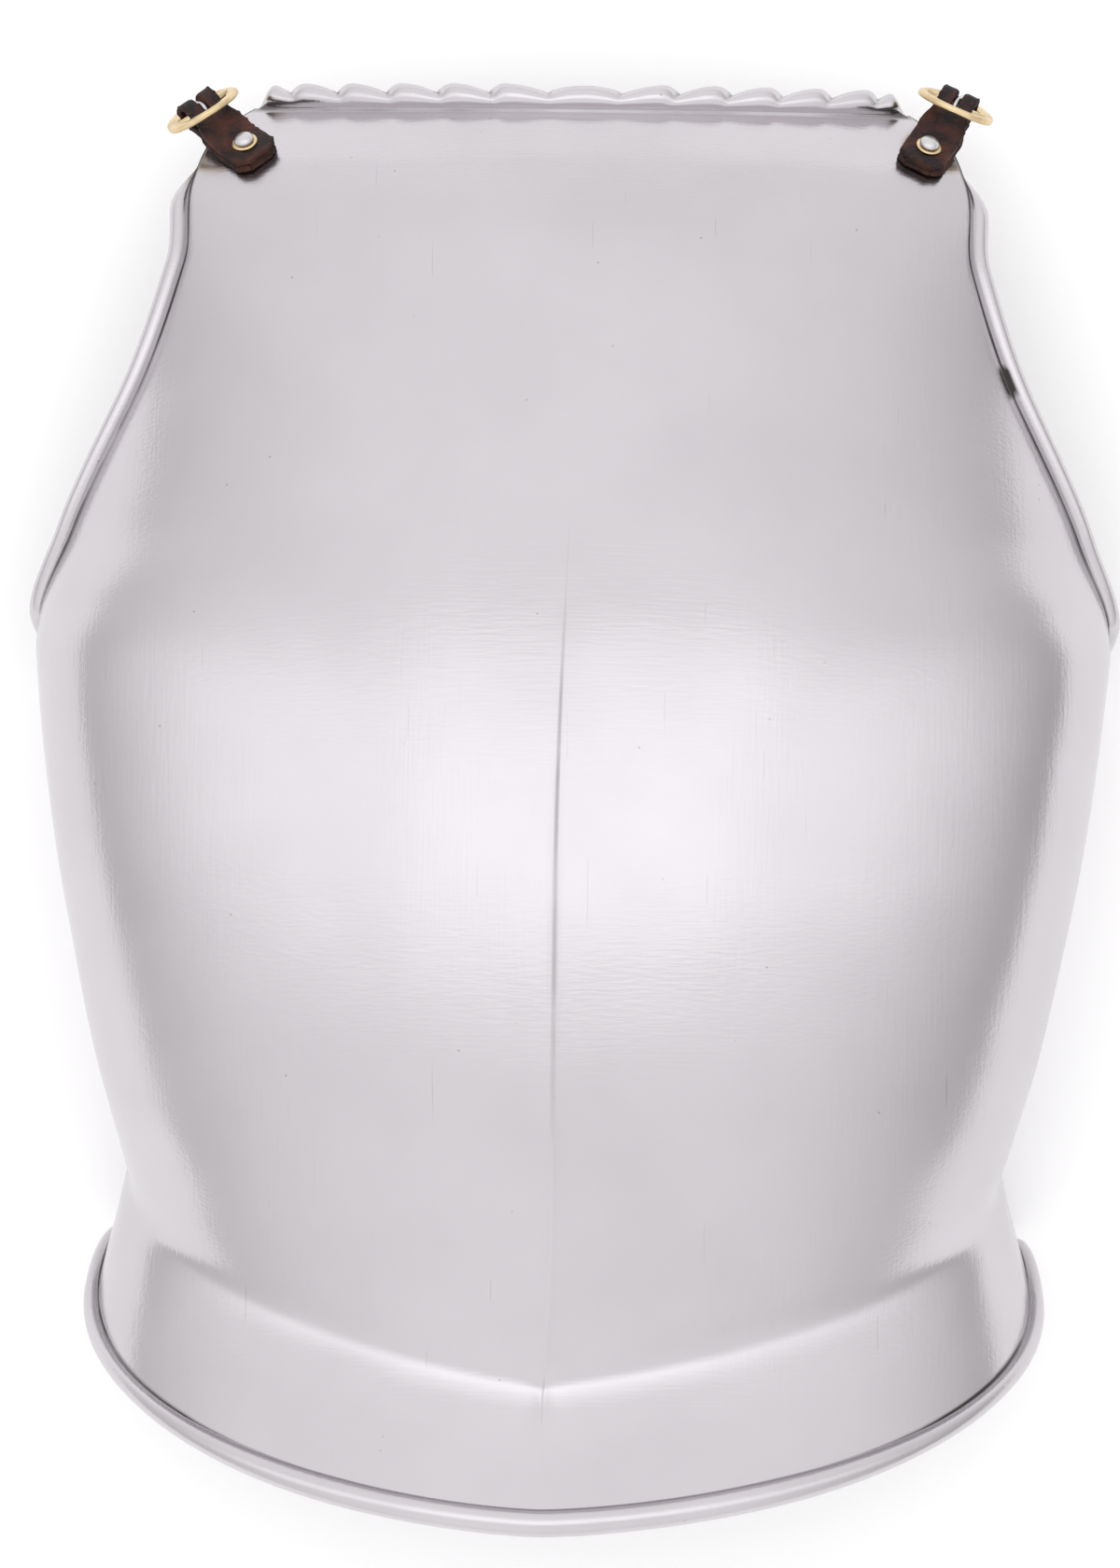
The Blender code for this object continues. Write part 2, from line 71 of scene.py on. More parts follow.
COLUMN_NAMES = ("at", "mid_y", "side_y", "half", "side_z", "mid_z", "turn", "sag", "ridge")
SECTIONS = np.array((
    # at,    mid_y,  side_y, half,  side_z, mid_z, turn,  sag,  ridge
    (0.000, -0.502, -0.362, 0.878,  0.37,  0.940, 1.300, 1.60, 0.15),   # bottom edge
    (0.045, -0.463, -0.318, 0.847,  0.37,  0.870, 1.300, 1.50, 0.30),   # flange
    (0.090, -0.415, -0.270, 0.819,  0.37,  0.805, 1.300, 1.38, 0.65),   # crease
    (0.140, -0.367, -0.233, 0.847,  0.41,  0.855, 1.300, 1.42, 0.85),   # waist
    (0.220, -0.281, -0.183, 0.886,  0.45,  0.940, 1.300, 1.50, 1.00),   # belly
    (0.320, -0.183, -0.115, 0.925,  0.48,  0.995, 1.300, 1.60, 1.00),   # ribs
    (0.430, -0.073, -0.038, 0.963,  0.50,  1.012, 1.300, 1.80, 0.90),   # deepest
    (0.540,  0.038,  0.042, 0.991,  0.50,  0.987, 1.300, 2.00, 0.65),   # chest
    (0.580,  0.083,  0.077, 1.001,  0.49,  0.970, 1.280, 2.00, 0.50),   # foot of armhole
    (0.610,  0.108,  0.096, 1.006,  0.47,  0.953, 1.180, 2.00, 0.35),
    (0.640,  0.135,  0.115, 1.004,  0.43,  0.934, 1.010, 2.00, 0.25),
    (0.690,  0.183,  0.169, 0.976,  0.33,  0.893, 0.840, 2.00, 0.10),
    (0.780,  0.271,  0.258, 0.980,  0.15,  0.806, 0.645, 2.00, 0.00),   # armhole
    (0.880,  0.367,  0.357, 1.033,  0.03,  0.672, 0.510, 2.00, 0.00),
    (0.955,  0.435,  0.417, 1.139, -0.03,  0.515, 0.443, 2.00, 0.00),   # shoulder
    (0.980,  0.460,  0.460, 1.154, -0.18,  0.445, 0.415, 2.00, 0.00),   # cut corner
    (1.000,  0.479,  0.502, 1.166, -0.46,  0.390, 0.362, 2.00, 0.00),   # neck edge
))
LOWER_HALF = SECTIONS[:len(SECTIONS) // 2]
CREASE_ROW = int(np.argmin(LOWER_HALF[:, COLUMN_NAMES.index("mid_z")]))   # its shallowest row
CREASE_AT = SECTIONS[CREASE_ROW, 0]
CREASE_SOFT = 0.018     # rounding of the crease, as a share up the plate
CHEST_SOFT = 0.075      # how far the hammer evened out the curves between sections
CHEST_FROM = (0.16, 0.30)     # where that begins, as shares up the plate
CHEST_TO = (0.93, 0.84)       # and where it ends below the neck
EVENED = ("mid_y", "side_z", "mid_z", "sag", "ridge")     # the columns that it evened out
BLUR = ((-0.9, 1), (-0.6, 2), (-0.3, 3), (0.0, 4), (0.3, 3), (0.6, 2), (0.9, 1))
BLUR_SUM = sum(weight for _, weight in BLUR)
print(len(SECTIONS), "sections, the crease is number", CREASE_ROW)


# %% [markdown]
# Every row is bent from the middle round to the side as a quarter of an ellipse, and the rear
# edges wrap on behind the widest line. The crease is the one row where two curves meet, so
# only there and over the chest are neighbouring rows blurred into each other.

# %% The curve through a column and the loft
def smooth(low, high, value):
    share = np.clip((value - low) / (high - low), 0.0, 1.0)
    return share * share * (3.0 - 2.0 * share)


def through(at, value, where):
    """A curve through the points (at, value) that never overshoots them."""
    step = np.diff(at)
    rise = np.diff(value) / step
    slope = np.concatenate(([rise[0]], np.zeros(len(at) - 2), [rise[-1]]))
    for i in range(1, len(at) - 1):
        if rise[i - 1] * rise[i] > 0:
            before = 2 * step[i] + step[i - 1]
            after = step[i] + 2 * step[i - 1]
            slope[i] = (before + after) / (before / rise[i - 1] + after / rise[i])
    i = np.clip(np.searchsorted(at, where, side="right") - 1, 0, len(at) - 2)
    t = (where - at[i]) / step[i]
    return ((1 + 2 * t) * (1 - t) ** 2 * value[i] + t * (1 - t) ** 2 * step[i] * slope[i]
            + t * t * (3 - 2 * t) * value[i + 1] + t * t * (t - 1) * step[i] * slope[i + 1])


def section(v):
    """Every named value at v, 0 at the bottom edge and 1 at the neck."""
    below, above = SECTIONS[:CREASE_ROW + 1], SECTIONS[CREASE_ROW:]
    near_crease = CREASE_SOFT * smooth(3.0, 1.0, abs(v - CREASE_AT) / CREASE_SOFT)
    on_chest = CHEST_SOFT * smooth(*CHEST_FROM, v) * smooth(*CHEST_TO, v)
    values = {}
    for j, name in enumerate(COLUMN_NAMES):
        spread = near_crease + (on_chest if name in EVENED else 0.0)
        values[name] = 0.0
        for side, weight in BLUR:
            at = v + side * spread
            value = np.where(at < CREASE_AT, through(below[:, 0], below[:, j], at),
                             through(above[:, 0], above[:, j], at))
            values[name] = values[name] + value * weight / BLUR_SUM
    return values


def loft(u, v):
    """Points of the plate's inner face, u from -1 to 1 across and v from 0 to 1 up it."""
    row = section(v)
    turn = abs(u) * row["turn"]
    behind = np.clip(turn - 1.0, 0.0, None)
    wrap = behind / (WRAP - 1.0)
    angle = np.minimum(turn, 1.0) * pi / 2
    x = HALF_WIDTH * row["half"] * np.sin(angle) - TUCK * wrap ** 2
    z = DEPTH * (row["side_z"] + (row["mid_z"] - row["side_z"]) * np.cos(angle)
                 - row["side_z"] * wrap)
    z += RIDGE * row["ridge"] * np.clip(1.0 - x / RIDGE_HALF, 0.0, None) ** 2
    z += LINE * row["ridge"] ** 2 * np.clip(1.0 - x / LINE_HALF, 0.0, None) ** 2
    eased = behind - behind ** 2 / (2 * (WRAP - 1.0))
    drop = np.minimum(turn, 1.0) ** row["sag"] + row["sag"] * eased
    y = HEIGHT * (row["mid_y"] + (row["side_y"] - row["mid_y"]) * drop) + MIDDLE
    x = np.where(u < 0, -x, x)
    middle = np.clip(1.0 - (x / HALF_WIDTH) ** 2, 0.0, None) ** 2
    x -= middle * (LEAN_AT_RIDGE * smooth(0.75, 0.45, v)
                   + (LEAN_AT_HEM - LEAN_AT_RIDGE) * smooth(0.20, 0.06, v))
    return np.stack([x, y, np.clip(z, 0.0, None)], -1)


def unit(a):
    return a / np.maximum(np.linalg.norm(a, axis=-1, keepdims=True), 1e-12)


def sheet_frame(u, v):
    """Point, outward normal, and the directions across and up the sheet."""
    step = 1e-3
    across = loft(np.minimum(u + step, 1.0), v) - loft(np.maximum(u - step, -1.0), v)
    up = loft(u, np.minimum(v + step, 1.0)) - loft(u, np.maximum(v - step, 0.0))
    point = loft(u, v)
    normal = unit(np.cross(across, up))
    normal[..., 2] *= smooth(0.0, GROUND_STRIP, point[..., 2])
    return point, unit(normal), unit(across), unit(up)


print("chest stands", round(float(loft(np.array([0.0]), np.array([0.43]))[0, 2]), 4), "m high")

# %% [markdown]
# ## The rolled edges
# The sheet's edge is rolled outwards over a wire. Round the arms and along the bottom the
# roll is plain, and at the neck it is filed and chased into a rope whose twist runs outwards
# from the middle on both sides. The edge is most of a circle carried along the border, and it
# drops straight down to its seam on the sheet. For the rope, its radius dips at every groove
# and the whole pattern slides sideways over the roll.

# %% Sizes of the rolls
ARM_ROLL = 0.0030       # radius round the arms
HEM_ROLL = 0.0046       # radius along the bottom, at the middle
HEM_ROLL_SIDE = 0.0029  # and towards the sides
NECK_ROLL = 0.0043      # radius along the neck
NECK_ROLL_ENDS = (0.93, 0.995)      # shares across between which the neck's roll flattens out
ARM_ROLL_ENDS = (0.925, 0.965)      # shares up the plate where the arms' rolls flatten out
ROLL_FADE = 0.015       # height over which every roll grows from the ground
ROLL_STEPS = 16         # faces round a roll
TWISTS = 6.5            # turns of the rope on each half of the neck
FIRST_GROOVE = 0.5625   # turns from the middle to the first groove
ROPE_SHIFT = 1 / 104    # the rope's middle stands this share right of the plate's
GROOVE_DEPTH = 0.34     # share of the roll's radius
CREST_AT = 0.70         # the crest leans towards its outer groove
ROPE_SLANT = 0.45       # turns that a groove leans outwards over the roll
ROPE_END = (0.90, 0.62) # shares round the roll between which the grooves run out
CREST_SOFT = (0.9, 0.8) # softness of a lobe towards the middle and away from it
MIDDLE_LOBE = (0.8, 0.6)      # height and softness of the lobe in the middle
HEM_TAPER = (0.2, 0.6)  # shares across between which the bottom roll thins


def roll_radius(u, v, share):
    """Radius of the roll at each border point, with the rope's grooves at the neck."""
    hem = HEM_ROLL + (HEM_ROLL_SIDE - HEM_ROLL) * smooth(*HEM_TAPER, abs(u))
    radius = np.where(v >= 1.0, NECK_ROLL, np.where(v <= 0.0, hem, ARM_ROLL))
    from_middle = abs(u - ROPE_SHIFT) * TWISTS
    turn = from_middle - FIRST_GROOVE
    place = np.mod(turn, 1.0)
    rise = np.sin(pi / 2 * np.clip(place / CREST_AT, 0, 1)) ** CREST_SOFT[0]
    fall = np.cos(pi / 2 * np.clip((place - CREST_AT) / (1 - CREST_AT), 0, 1)) ** CREST_SOFT[1]
    crest = np.where(place < CREST_AT, rise, fall)
    middle = np.cos(pi / 2 * np.clip(from_middle / FIRST_GROOVE, 0, 1)) ** MIDDLE_LOBE[1]
    crest = np.where(turn < 0, MIDDLE_LOBE[0] * middle, crest)
    reach = smooth(*ROPE_END, share)
    rope = 1.0 - GROOVE_DEPTH * reach * (1.0 - crest)
    return radius * np.where(v >= 1.0, rope, 1.0)


def rolled_edge(u, v, share):
    """Points on the rolled border, share 0 at the inner face and 1 at the seam outside."""
    radius = roll_radius(u, v, share)
    step = share * ROLL_STEPS
    mid_fade = np.clip(abs(u) * TWISTS, 0, 1) * np.clip((1 - abs(u)) * TWISTS, 0, 1)
    lean = ROPE_SLANT / TWISTS * (1.0 - share) * mid_fade * np.sign(u)
    u = np.where((v >= 1.0) & (step >= 1.0), np.clip(u + lean, -1.0, 1.0), u)
    point, normal, across, up = sheet_frame(u, v)
    formed = np.where(v >= 1.0, 1.0 - smooth(*NECK_ROLL_ENDS, abs(u)),
                      np.where(v <= 0.0, 1.0, 1.0 - smooth(*ARM_ROLL_ENDS, v)))
    formed = (formed * smooth(0.0, ROLL_FADE, point[..., 2]))[..., None]
    off_row = unit(up - across * (up * across).sum(-1, keepdims=True))
    outward = np.where((v >= 1.0)[..., None], off_row, 0.0)
    outward = outward - np.where((v <= 0.0)[..., None], off_row, 0.0)
    side = np.sign(u)
    edge = unit(loft(side, np.minimum(v + 1e-3, 1.0)) - loft(side, np.maximum(v - 1e-3, 0.0)))
    off_side = side[..., None] * unit(across - edge * (across * edge).sum(-1, keepdims=True))
    outward = unit(outward + np.where((abs(u) >= 1.0)[..., None], off_side, 0.0))
    overhang = np.sqrt(2 * radius * SHEET - SHEET ** 2)
    end = pi + np.arcsin((radius - SHEET) / radius)
    angle = -pi / 2 + (end + pi / 2) * np.clip(step - 1, 0, None) / (ROLL_STEPS - 1)
    round_it = np.where(angle > pi, -1.0, np.cos(angle))
    out = overhang * np.minimum(step, 1.0) + np.where(step >= 1.0, radius * round_it, 0.0)
    off = np.where(step >= 1.0, radius * (1.0 + np.sin(angle)), 0.0)
    rolled = point + outward * out[..., None] + normal * off[..., None]
    flat = point + normal * (SHEET * share)[..., None]
    return flat + (rolled - flat) * formed


# %% [markdown]
# ## One closed sheet
# The plate is a grid with a column for each sixteenth of a rope turn. It is given a second
# skin while it is still flat, and the strip of faces that joins the two skins is divided
# into the steps of the roll. Then every vertex is sent to its place: inner face, outer face
# or roll. That keeps the sheet closed and evenly thick, which no cut or join would do.

# %% Raise the plate
COLUMNS = 208
FINE_COLUMNS = (0.0007, 0.0018, 0.0045)   # extra columns on both sides of the ridge
SPANS = (               # bands of rows
    # from, to, rows
    (0.00, 0.09, 22), (0.09, 0.54, 60), (0.54, 0.66, 22), (0.66, 0.955, 48), (0.955, 1.0, 12),
)
PLEAT = 0.0012          # depth of the small fold below the crease
PLEAT_HALF = 0.0030     # half width of that fold
PLEAT_FROM = (0.045, 0.085)   # where it begins, as shares up the plate
PLEAT_TO = (0.102, 0.092)     # and where it ends above
STRAIGHT_BELOW = 0.02   # height below which the rear edges were left true
WAVES = ((0.0007, 9.0), (0.00016, 24.0), (0.00006, 45.0))   # the hammer's, height and fineness
SEAM = (0.95, 1.0)      # the part of a roll that the dirt and painted shade in its seam cover
SEAM_AT_NECK = 0.4      # how dark the neck's seam is beside the others
# the open gap in the right arm's roll is darkened with painted shade
GAP_AT = 0.803          # place where the right arm's roll stands open
GAP_HALF = 0.008        # half the length of that gap
GAP_REACH = (0.80, 0.90)      # how far the gap reaches round the roll
LINE_PAINTED_SHADE = 0.28        # strength of the painted shade along the filed line on the ridge
LINE_FROM = (0.25, 0.31)      # where it begins, as shares up the plate
LINE_TO = (0.70, 0.52)        # and where it fades out above
POINT_PAINTED_SHADE = 0.4        # strength of the painted shade along the short line at the crease's point
POINT_FROM = (0.060, 0.088)
POINT_TO = (0.097, 0.090)
GROOVE_PAINTED_SHADE = 0.4       # strength of the painted shade in the rope's grooves
GROOVE_FLOOR = (0.7, 1.0)     # the part of a groove's depth that gets painted shade


def rows_up(spans):
    places = [0.0]
    for low, high, steps in spans:
        places += [low + (high - low) * (i + 1) / steps for i in range(steps)]
    return np.array(places)


def hand_work(points, v):
    """How far the hammer left each point off the true form."""
    off = np.zeros(len(points))
    for height, fineness in WAVES:
        off += [height * noise.noise(Vector(p) * fineness) for p in points.tolist()]
    x = points[:, 0] + LEAN_AT_HEM
    fold = PLEAT * np.exp(-(x / PLEAT_HALF) ** 2)
    off -= fold * smooth(*PLEAT_FROM, v) * smooth(*PLEAT_TO, v)
    return off * smooth(0.0, STRAIGHT_BELOW, points[:, 2])


def painted_shade_and_dirt_levels(u, v, share, border):
    """How dark each point is painted: dirt and painted shade in the seams,
    painted shade in the open gap, along the filed lines and in the grooves.
    """
    neck, outside = v >= 1.0, share > 0.5
    # dirt and painted shade in the seams
    seam = np.where(border, smooth(*SEAM, share) * np.where(neck, SEAM_AT_NECK, 1.0), 0.0)
    # painted shade in the open gap
    gap = np.where((u >= 1.0) & (abs(v - GAP_AT) < GAP_HALF), smooth(*GAP_REACH, share), 0.0)
    # painted shade along the ridge's filed line and at the crease's point
    filed = smooth(*LINE_FROM, v) * smooth(*LINE_TO, v) * np.where(outside, LINE_PAINTED_SHADE, 0.0)
    filed += POINT_PAINTED_SHADE * smooth(*POINT_FROM, v) * smooth(*POINT_TO, v) * outside
    filed *= np.clip(1.0 - abs(u) / FINE_COLUMNS[1], 0.0, 1.0)
    # painted shade in the rope's grooves
    chased = (1.0 - roll_radius(u, v, share) / NECK_ROLL) / GROOVE_DEPTH
    groove = np.where(neck, GROOVE_PAINTED_SHADE * smooth(*GROOVE_FLOOR, chased), 0.0)
    return seam + gap + filed + groove


def put_in_scene(name, data):
    obj = bpy.data.objects.new(name, data)
    bpy.context.scene.collection.objects.link(obj)
    return obj


def add_piece(name, bm, materials, body, nodes, smooth_shade=True):
    """Turn a mesh under construction into a finished piece of the object."""
    bmesh.ops.recalc_face_normals(bm, faces=bm.faces)
    mesh = bpy.data.meshes.new(name)
    bm.to_mesh(mesh)
    bm.free()
    mesh.polygons.foreach_set("use_smooth", [smooth_shade] * len(mesh.polygons))
    for material in materials:
        mesh.materials.append(material)
    obj = put_in_scene(name, mesh)
    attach(obj, body)
    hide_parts(*nodes)
    triangles = sum(len(face.vertices) - 2 for face in mesh.polygons)
    size = [round(d * 1000, 1) for d in obj.dimensions]
    print(name, triangles, "triangles,", size, "mm")
    return obj


def raise_plate(*materials):
    places = rows_up(SPANS)
    rows = len(places) - 1
    across = np.linspace(-1.0, 1.0, COLUMNS + 1)
    across = np.sort(np.concatenate((across, FINE_COLUMNS, -np.array(FINE_COLUMNS))))
    columns = len(across) - 1
    bm = bmesh.new()
    bmesh.ops.create_grid(bm, x_segments=columns, y_segments=rows, size=1.0)
    bmesh.ops.solidify(bm, geom=bm.faces[:], thickness=1.0)
    lowest = min(vert.co.z for vert in bm.verts)
    rim = [e for e in bm.edges if abs(e.verts[0].co.z - e.verts[1].co.z) > 0.5]
    bmesh.ops.subdivide_edges(bm, edges=rim, cuts=ROLL_STEPS - 1, use_grid_fill=True)
    flat = np.array([vert.co[:] for vert in bm.verts])
    u = across[np.round((flat[:, 0] + 1) / 2 * columns).astype(int)]
    v = places[np.round((flat[:, 1] + 1) / 2 * rows).astype(int)]
    share = flat[:, 2] - lowest
    point, normal, _, _ = sheet_frame(u, v)
    formed = point + normal * (SHEET * share)[:, None]
    border = (abs(u) >= 1.0) | (v <= 0.0) | (v >= 1.0)
    formed[border] = rolled_edge(u[border], v[border], share[border])
    formed += normal * hand_work(formed, v)[:, None]
    for vert, place in zip(bm.verts, formed.tolist()):
        vert.co = place
    # store the dirt and painted shade on each vertex for the steel's finish
    painted_shade_and_dirt = bm.verts.layers.float.new("painted_shade_and_dirt")
    for vert, value in zip(bm.verts, painted_shade_and_dirt_levels(u, v, share, border).tolist()):
        vert[painted_shade_and_dirt] = value
    return add_piece("breastplate_steel", bm, materials, "plate", ["breastplate"])


# %% [markdown]
# ## Leather, brass and rivets
# Each shoulder strap is one thick piece of old harness leather folded round the bar of a
# cast brass buckle and held to the plate by a rivet through both layers and a washer. All
# of them stand on the same small frame at the rivet, so one function finds it and every
# maker works in its axes: x along the strap, y across it and z off the plate.

# %% Sizes of the fittings and their frames
LEATHER = 0.0022        # thickness of the leather
LAYER_GAP = 0.0003      # air between pieces that lie on each other
STRAP_WIDTH = 0.0162
FOLD_WIDTH = 0.0130     # width at the fold
END_WIDTH = 0.0090      # width of the end between its clipped corners
STRAP_RISE = 20         # degrees that the strap climbs towards the bar
STRAP_TAIL = 0.0080     # rivet to the strap's end
STRAP_REACH = 0.0235    # rivet to the buckle's bar
STRAP_FLAT = 0.25       # share of the reach that lies flat on the plate
STRAP_LIFT = 0.0080     # the bar's height above the plate
STRAP_CLIP = 0.2        # share of the width that is clipped off each corner
LOOP_ROOM = 0.0011      # air between the bar and the fold round it
LOOP_SLACK = 0.0016     # how far the fold stands off the bar
SLOT_WIDTH = 0.0026     # the slot in the fold for the tongue
BAR_RADIUS = 0.0015
BAR_END = 0.4           # how far the bar's ends stand into the ring, as a share of its width
RING_OUTER = 0.0138
RING_INNER = 0.0094
RING_THICK = 0.0023
RING_BEND = 3           # degrees that each half of the ring rises from the bar
RING_SWING = -28        # degrees that the whole buckle hangs down from level
TONGUE_WIRE = 0.0009    # radius of the tongue's wire
TONGUE_REACH = 0.0128   # bar to the tongue's tip
EYE_START = 10          # degrees round the bar where the eye begins
EYE_TURN = 260          # and where it runs out into the tongue
SHANK_RADIUS = 0.0018
HEAD_RADIUS = 0.0034
HEAD_HEIGHT = 0.0026
HEAD_RIM = 0.15         # share of the head's height that is straight rim
TAIL_RADIUS = 0.0032
TAIL_HEIGHT = 0.0010
TAIL_GAP = 0.0007       # air between the sheet and the tail
WASHER_OUTER = 0.0044
WASHER_INNER = 0.0021
WASHER_THICK = 0.0008
RIVET_AT = {"left": (-0.853, 0.9655), "right": (0.897, 0.9685)}
HEADING = {"left": 52, "right": 65}     # degrees from across the plate to the strap's line
PARTING = (             # how the two layers part on the way to the bar
    # reach, upper, lower
    (0.50, 0.22, 0.20),
    (0.82, 0.63, 0.37),
)


def shoulder_frame(side):
    u, v = RIVET_AT[side]
    point, normal, _, _ = sheet_frame(np.array([u]), np.array([v]))
    point, normal = Vector(point[0]), Vector(normal[0])
    heading = radians(HEADING[side])
    along = Vector((cos(heading) if side == "right" else -cos(heading), sin(heading), 0.0))
    along = (along - normal * along.dot(normal)).normalized()
    matrix = Matrix((along, normal.cross(along), normal)).transposed().to_4x4()
    matrix.translation = point + normal * SHEET
    return matrix


def buckle_frame(side):
    """Axes at a buckle's bar: x out over the far arc, y along the bar, z off the frame."""
    swing = Matrix.Rotation(-radians(RING_SWING), 4, "Y")
    return shoulder_frame(side) @ Matrix.Translation((STRAP_REACH, 0.0, STRAP_LIFT)) @ swing


for hand in ("left", "right"):
    print(hand, "rivet at", [round(c * 1000, 1) for c in shoulder_frame(hand).translation], "mm")

# %% [markdown]
# The strap follows a hairpin line. A sheet of faces is laid out flat along that line, the slot
# for the tongue is left out of it, and it is thickened and bent. Its edges are eased, because
# leather that has been handled for years has no sharp corner, and a little noise gives it the
# lumps and creases of the fold.

# %% The strap
FOLD_STEPS = 20
STATIONS = 84           # stations along the strap
ACROSS = 14             # faces across it
SLOT_EDGE = 2.0 / ACROSS      # the slot is two faces wide, as a share of the sheet's half width
EASE = 0.00045          # rounding of the cut edges
LUMP = (0.00022, 160.0)       # height and fineness of the leather's lumps
GRAIN = (0.00006, 700.0)      # of its grain
FRAY = (0.00028, 420.0)       # and of its rough edges
SEEDS = {"left": Vector((3.0, 1.0, 7.0)), "right": Vector((11.0, 5.0, 2.0))}


def strap_line():
    """The strap's middle line with its width, as rows of along, off the plate, width."""
    low = LAYER_GAP + LEATHER / 2
    high = low + LEATHER + LAYER_GAP
    loop = BAR_RADIUS + LOOP_ROOM + LEATHER / 2
    rise = radians(STRAP_RISE)
    clip = STRAP_TAIL - STRAP_WIDTH * STRAP_CLIP
    flat = ((-STRAP_TAIL, END_WIDTH), (-clip, STRAP_WIDTH), (0.0, STRAP_WIDTH),
            (STRAP_REACH * STRAP_FLAT, STRAP_WIDTH))
    widths = (STRAP_WIDTH, FOLD_WIDTH)
    upper = [(x, high, width) for x, width in flat]
    upper += [(STRAP_REACH * reach, high + STRAP_LIFT * up, width)
              for (reach, up, _), width in zip(PARTING, widths)]
    fold = []
    for i in range(FOLD_STEPS + 1):
        angle = pi / 2 + rise - (pi + 2 * rise) * i / FOLD_STEPS
        fold.append((STRAP_REACH + LOOP_SLACK + loop * cos(angle), STRAP_LIFT + loop * sin(angle),
                     FOLD_WIDTH))
    lower = [(STRAP_REACH * reach, low + STRAP_LIFT * up, width)
             for (reach, _, up), width in zip(PARTING, widths)][::-1]
    lower += [(x, low, width) for x, width in reversed(flat)]
    line = np.array(upper + fold + lower)
    pieces = np.linalg.norm(np.diff(line[:, :2], axis=0), axis=1)
    length = np.concatenate(([0.0], np.cumsum(pieces)))
    where = np.linspace(0.0, length[-1], STATIONS + 1)
    return np.stack([through(length, line[:, j], where) for j in range(3)], 1)


def strap(side, *materials):
    line = strap_line()
    last = len(line) - 1
    bm = bmesh.new()
    bmesh.ops.create_grid(bm, x_segments=last, y_segments=ACROSS, size=1.0)
    slot = []
    for face in bm.faces:
        middle = face.calc_center_median()
        in_fold = line[int((middle.x + 1) / 2 * last), 0] > STRAP_REACH * PARTING[-1][0]
        if in_fold and abs(middle.y) < SLOT_EDGE:
            slot.append(face)
    bmesh.ops.delete(bm, geom=slot, context="FACES")
    bmesh.ops.solidify(bm, geom=bm.faces[:], thickness=1.0)
    lowest = min(vert.co.z for vert in bm.verts)
    bm.normal_update()
    for face in bm.faces:
        face.material_index = 1 if abs(face.normal.z) < 0.5 else 0
    edges = [e for e in bm.edges if e.link_faces[0].normal.dot(e.link_faces[1].normal) < 0.5]
    seed = SEEDS[side]
    for vert in bm.verts:
        i = round((vert.co.x + 1) / 2 * last)
        x, z, width = line[i]
        ahead = line[min(i + 1, last)] - line[max(i - 1, 0)]
        run = Vector((ahead[0], 0.0, ahead[1])).normalized()
        normal = Vector((-run.z, 0.0, run.x))
        lift = (vert.co.z - lowest - 0.5) * LEATHER
        share = (abs(vert.co.y) - SLOT_EDGE) / (1.0 - SLOT_EDGE)
        off = SLOT_WIDTH / 2 + (width - SLOT_WIDTH) / 2 * share
        if share < 0.0:
            off = SLOT_WIDTH / 2 * abs(vert.co.y) / SLOT_EDGE
        place = Vector((x, off if vert.co.y > 0 else -off, z)) + normal * lift
        lump = noise.noise(place * LUMP[1] + seed) * LUMP[0]
        lump += noise.noise(place * GRAIN[1] + seed) * GRAIN[0]
        fray = noise.noise(place * FRAY[1] + seed * 2) * FRAY[0] * max(share, 0.0) ** 6
        vert.co = place + normal * lump + Vector((0.0, fray, 0.0))
    bmesh.ops.bevel(bm, geom=edges, offset=EASE, affect="EDGES", segments=2, profile=0.5,
                    material=-1, clamp_overlap=True)
    bmesh.ops.transform(bm, matrix=shoulder_frame(side), verts=bm.verts[:])
    return add_piece("shoulder_strap_" + side, bm, materials, "plate", ["strap_" + side])


# %% [markdown]
# The buckle is a round ring cast in one piece with its bar, and each half of the ring rises a
# little from the bar. Turned forms come from spinning an outline, and the ring's section has
# soft corners and a step on its face, as the pattern it was cast from had.

# %% Ring, bar, tongue, washer and rivet
RING_FACETS, WASHER_FACETS, RIVET_FACETS, BAR_FACETS, WIRE_FACETS = 96, 48, 40, 20, 14
EYE_STATIONS = 28       # stations of the wire round its eye
TONGUE_STATIONS = 16    # and along the straight tongue
TIP_STATIONS = 12       # the last of them, along which the tip thins
TIP_THIN = 0.45         # share of the wire's radius that the tip loses
DOME_STATIONS = 12
WASHER_EASE = 0.35      # rounding of the washer's rim, as a share of its thickness
WEAR = {                # height and fineness of what casting and wear left uneven
    "ring": (0.00009, 260.0), "tongue": (0.00005, 400.0),
    "washer": (0.00016, 190.0), "rivet": (0.00014, 330.0),
}
TAIL_OUTLINE = (        # shares of the tail's radius, and of its height below the sheet
    (0.0, -1.0), (0.6, -0.98), (0.85, -0.8), (1.0, -0.5), (0.95, 0.0),
)


def spun(profile, steps, closed=True):
    """A solid of revolution about Z from an outline of (radius, height)."""
    bm = bmesh.new()
    verts = [bm.verts.new((radius, 0.0, height)) for radius, height in profile]
    edges = [bm.edges.new((verts[i], verts[i + 1])) for i in range(len(verts) - 1)]
    if closed:
        edges.append(bm.edges.new((verts[-1], verts[0])))
    bmesh.ops.spin(bm, geom=verts + edges, cent=(0, 0, 0), axis=(0, 0, 1), angle=2 * pi,
                   steps=steps, use_merge=True)
    bmesh.ops.remove_doubles(bm, verts=bm.verts[:], dist=1e-6)
    return bm


def worn(bm, height, fineness, seed):
    """Cast and worn metal is never quite even."""
    bm.normal_update()
    for vert in bm.verts:
        vert.co += vert.normal * height * noise.noise(vert.co * fineness + seed)


